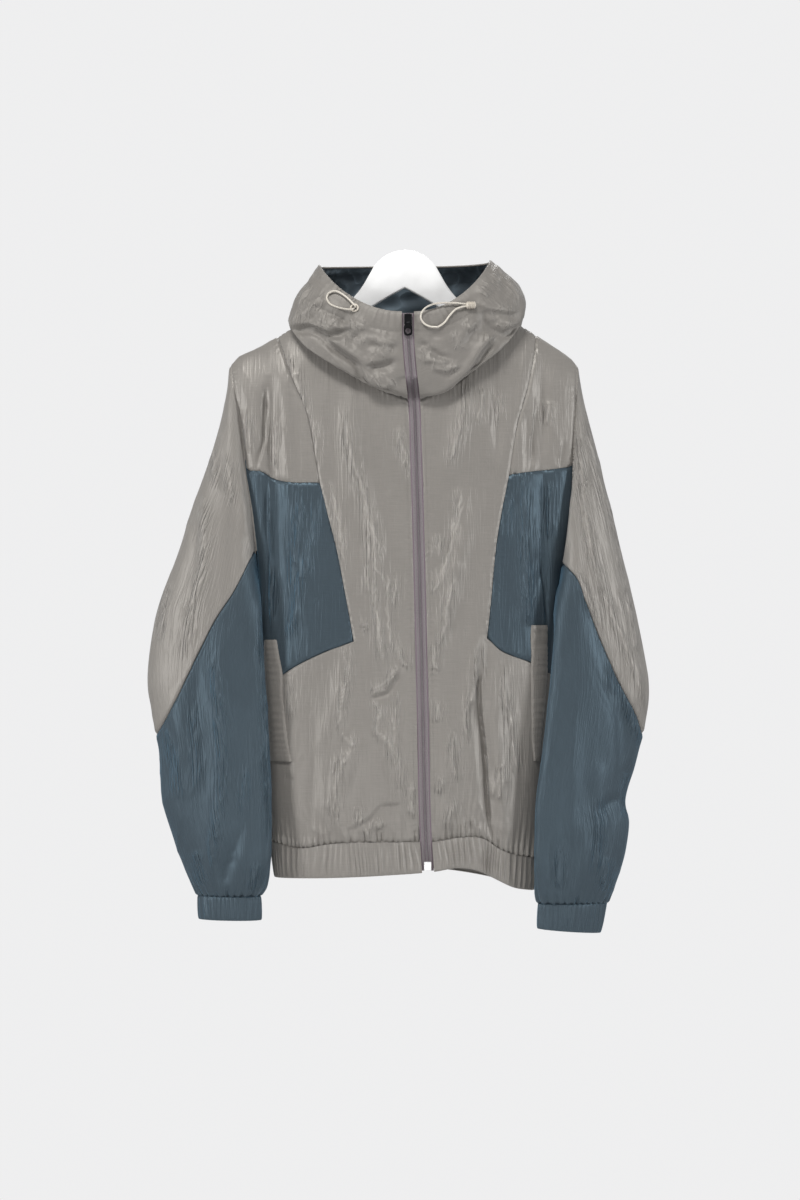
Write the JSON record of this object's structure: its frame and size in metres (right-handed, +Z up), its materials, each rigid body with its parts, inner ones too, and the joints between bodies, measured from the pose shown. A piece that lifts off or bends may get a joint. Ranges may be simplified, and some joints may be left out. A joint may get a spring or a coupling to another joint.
{
  "type": "windbreaker jacket on a hanger",
  "caption": "Hooded colour-blocked windbreaker jacket with a full-length zip, gathered cuffs and hem, hanging on a flat hanger.",
  "frame": {"origin": "middle of the wall peg's back face, where the hanger's head is held", "axes": "+Z up, the jacket's front faces -Y, +X to the right as seen from the front"},
  "size_m": [0.6207, 0.158, 0.8449],
  "materials": {
    "grey_shell": "smooth light nylon with a soft sheen, warm grey",
    "slate_shell": "smooth light nylon with a fine weave, slate blue",
    "zip_tape": "woven tape, dusty mauve",
    "zip_coil": "satin",
    "slider_metal": "black, half gloss",
    "bottom_box": "bright",
    "cord_trim": "satin",
    "cord": "round braid, cream",
    "hanger_white": "satin white",
    "peg_metal": "brushed"
  },
  "bodies": {
    "jacket": {"back": "grey_shell", "cord_stopper_right": "cord_trim", "cuff_left": "slate_shell", "cuff_right": "slate_shell", "eyelet_left": "cord_trim", "front_left": "grey_shell", "front_right": "grey_shell", "hanger": "hanger_white", "hem_band_back": "grey_shell", "hem_band_left": "grey_shell", "hem_band_right": "grey_shell", "hood_cord_left": "cord", "hood_cord_right": "cord", "hood_lining": "slate_shell", "hood_shell": "grey_shell", "pocket_welt_left": "grey_shell", "pocket_welt_right": "grey_shell", "side_panel_left": "slate_shell", "side_panel_right": "slate_shell", "sleeve_lower_left": "slate_shell", "sleeve_lower_right": "slate_shell", "sleeve_upper_left": "grey_shell", "sleeve_upper_right": "grey_shell", "wall_peg": "peg_metal", "yoke_left": "grey_shell", "yoke_right": "grey_shell", "zip_bottom_box": "bottom_box", "zip_coil": "zip_coil", "zip_slider": "slider_metal", "zip_tape_left": "zip_tape", "zip_tape_right": "zip_tape"},
    "pull_tab": {"zip_pull_tab": "slider_metal"}
  },
  "joints": [
    {"name": "pull_tab_hinge", "type": "hinge", "parent": "jacket", "child": "pull_tab", "pos_m": [0.00383, -0.15691, -0.089], "axis": [-1, 0, 0], "range_deg": [0, 150]}
  ]
}
